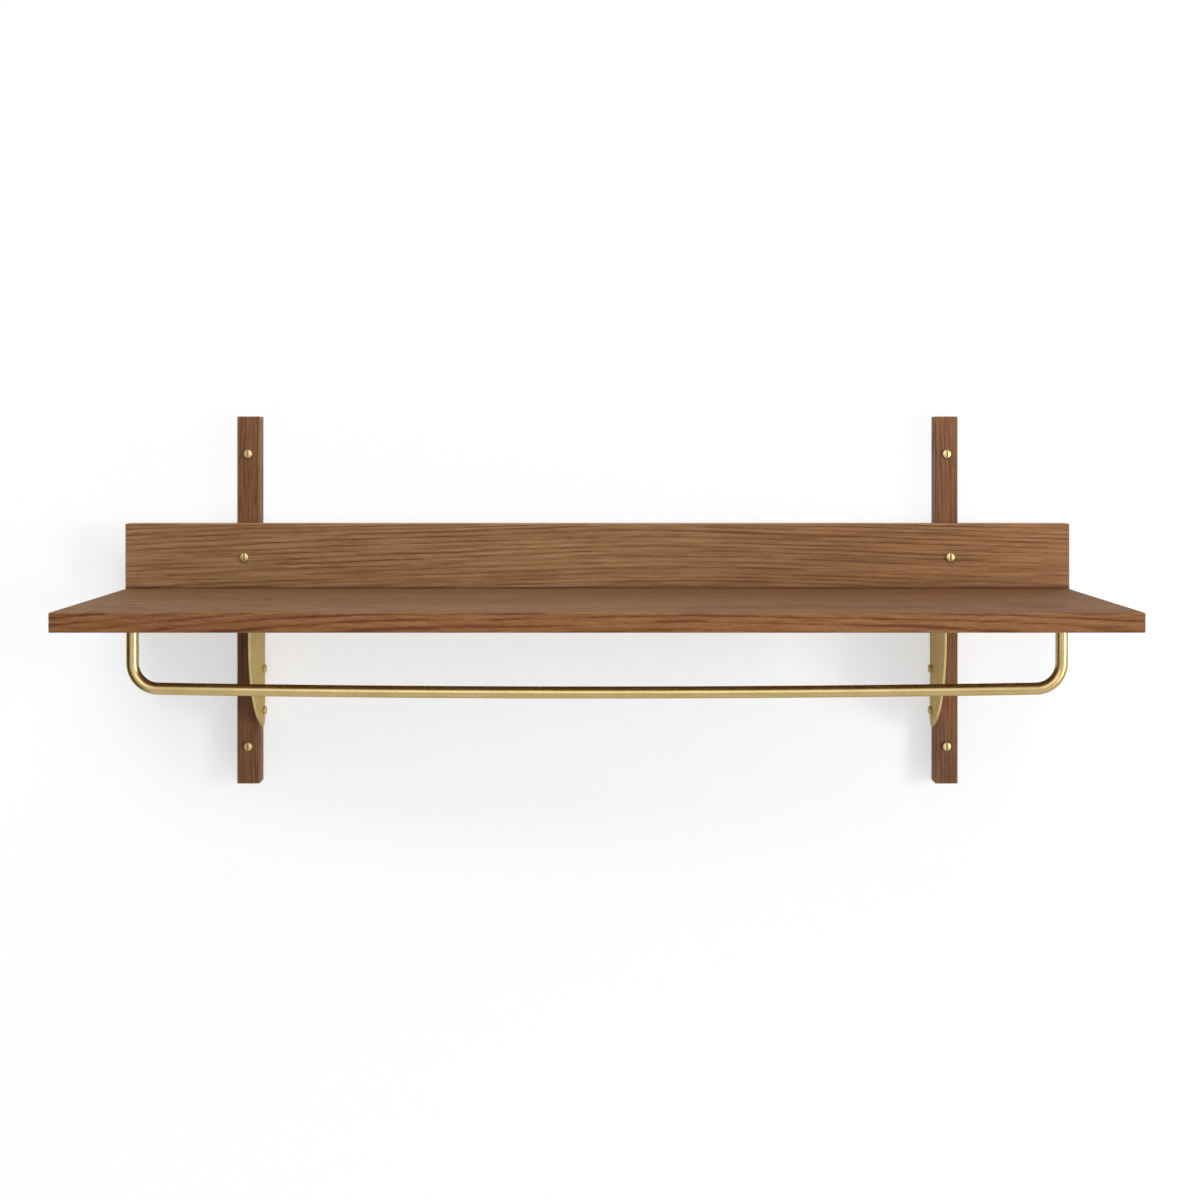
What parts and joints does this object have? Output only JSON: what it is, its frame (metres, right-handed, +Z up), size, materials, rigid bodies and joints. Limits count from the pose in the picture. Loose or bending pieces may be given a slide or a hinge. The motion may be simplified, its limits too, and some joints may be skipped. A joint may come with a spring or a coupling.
{
  "type": "wall shelf",
  "caption": "Wall shelf on upright wooden battens, with a low back board, curved metal brackets and a round hanging rail under the board.",
  "frame": {"origin": "middle of the rectangle of the wall screws, on the wall plane (the backs of the uprights)", "axes": "+X to the right as seen from the room, along the shelf; +Y into the wall; +Z up; the shelf's front faces -Y"},
  "size_m": [0.87, 0.274, 0.342],
  "materials": {
    "board_wood": "oiled brown oak, grain along the length",
    "back_wood": "oiled brown oak, grain along the length",
    "upright_wood": "oiled brown oak, grain along the height",
    "plug_wood": "oiled dark oak plug",
    "dowel_wood": "plain beech",
    "bracket_brass": "satin brushed brass",
    "rail_brass": "satin brass, drawn along the rod",
    "screw_brass": "polished brass",
    "rail_screw_steel": "zinc-plated steel"
  },
  "bodies": {
    "root": {"shelf_board": "board_wood", "back_board": "back_wood", "left_upright": "upright_wood", "right_upright": "upright_wood", "left_bracket": "bracket_brass", "right_bracket": "bracket_brass", "hanging_rail": "rail_brass", "upper_left_wall_screw": "screw_brass", "lower_left_wall_screw": "screw_brass", "left_back_board_screw": "screw_brass", "upper_left_side_screw": "screw_brass", "lower_left_side_screw": "screw_brass", "front_left_flange_screw": "screw_brass", "rear_left_flange_screw": "screw_brass", "upper_right_wall_screw": "screw_brass", "lower_right_wall_screw": "screw_brass", "right_back_board_screw": "screw_brass", "upper_right_side_screw": "screw_brass", "lower_right_side_screw": "screw_brass", "front_right_flange_screw": "screw_brass", "rear_right_flange_screw": "screw_brass", "left_rail_screw": "rail_screw_steel", "right_rail_screw": "rail_screw_steel", "left_rail_plug": "plug_wood", "right_rail_plug": "plug_wood", "dowel_1": "dowel_wood", "dowel_2": "dowel_wood", "dowel_3": "dowel_wood", "dowel_4": "dowel_wood", "dowel_5": "dowel_wood", "dowel_6": "dowel_wood"}
  },
  "joints": []
}
